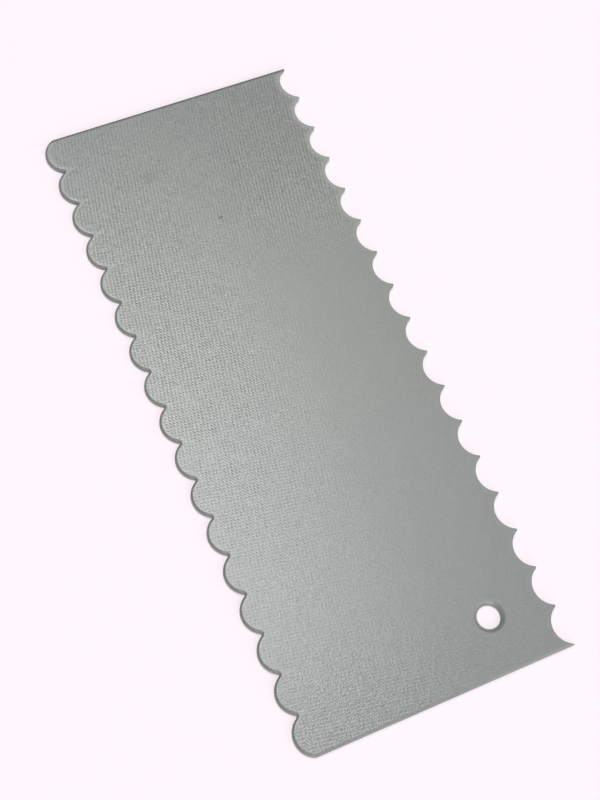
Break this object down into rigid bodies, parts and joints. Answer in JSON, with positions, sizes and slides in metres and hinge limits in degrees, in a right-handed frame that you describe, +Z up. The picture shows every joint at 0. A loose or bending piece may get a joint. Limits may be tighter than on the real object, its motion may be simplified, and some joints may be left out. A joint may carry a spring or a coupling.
{
  "type": "icing smoother",
  "caption": "Flat plastic icing smoother: a thin plate with a lobed long edge, a scalloped comb edge opposite and a hanging hole near one corner.",
  "frame": {"origin": "under the middle of the plate's box, on the plane that it lies on", "axes": "+X across the plate towards the scalloped comb edge, +Y along it away from the hanging hole's end, +Z up out of the grained face"},
  "size_m": [0.0878, 0.216, 0.002],
  "materials": {
    "plate": "satin grey moulded plastic with a fine square grain embossed in the upper face"
  },
  "bodies": {
    "root": {"smoother_plate": "plate"}
  },
  "joints": []
}
